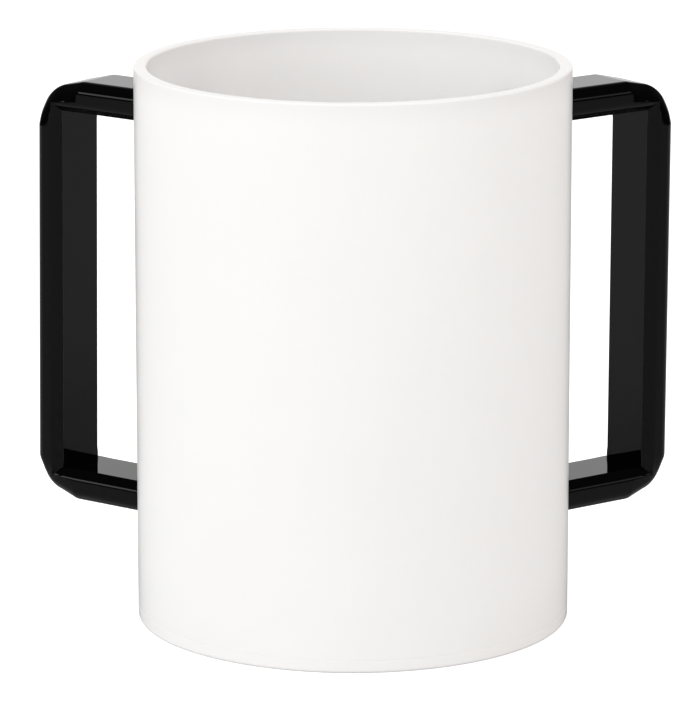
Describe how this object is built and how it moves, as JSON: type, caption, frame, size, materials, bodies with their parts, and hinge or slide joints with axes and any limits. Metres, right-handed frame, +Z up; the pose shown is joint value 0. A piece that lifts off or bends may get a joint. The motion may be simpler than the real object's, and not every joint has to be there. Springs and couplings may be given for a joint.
{
  "type": "two-handled washing cup",
  "caption": "Straight round cup with two square handles swept back from its sides, for pouring water over the hands in ritual hand washing.",
  "frame": {"origin": "on the axis of the cup, at the underside of its base disc, which it stands on", "axes": "+Z up along the axis of the cup towards the rim; +X to the right handle as seen from the front; +Y to the back, the way both handles are swept"},
  "size_m": [0.1514, 0.1076, 0.1296],
  "materials": {
    "white_acrylic": "polished opal white acrylic",
    "black_acrylic": "polished opaque black acrylic"
  },
  "bodies": {
    "root": {"cup_tube": "white_acrylic", "base_disc": "white_acrylic", "left_handle": "black_acrylic", "right_handle": "black_acrylic"}
  },
  "joints": []
}
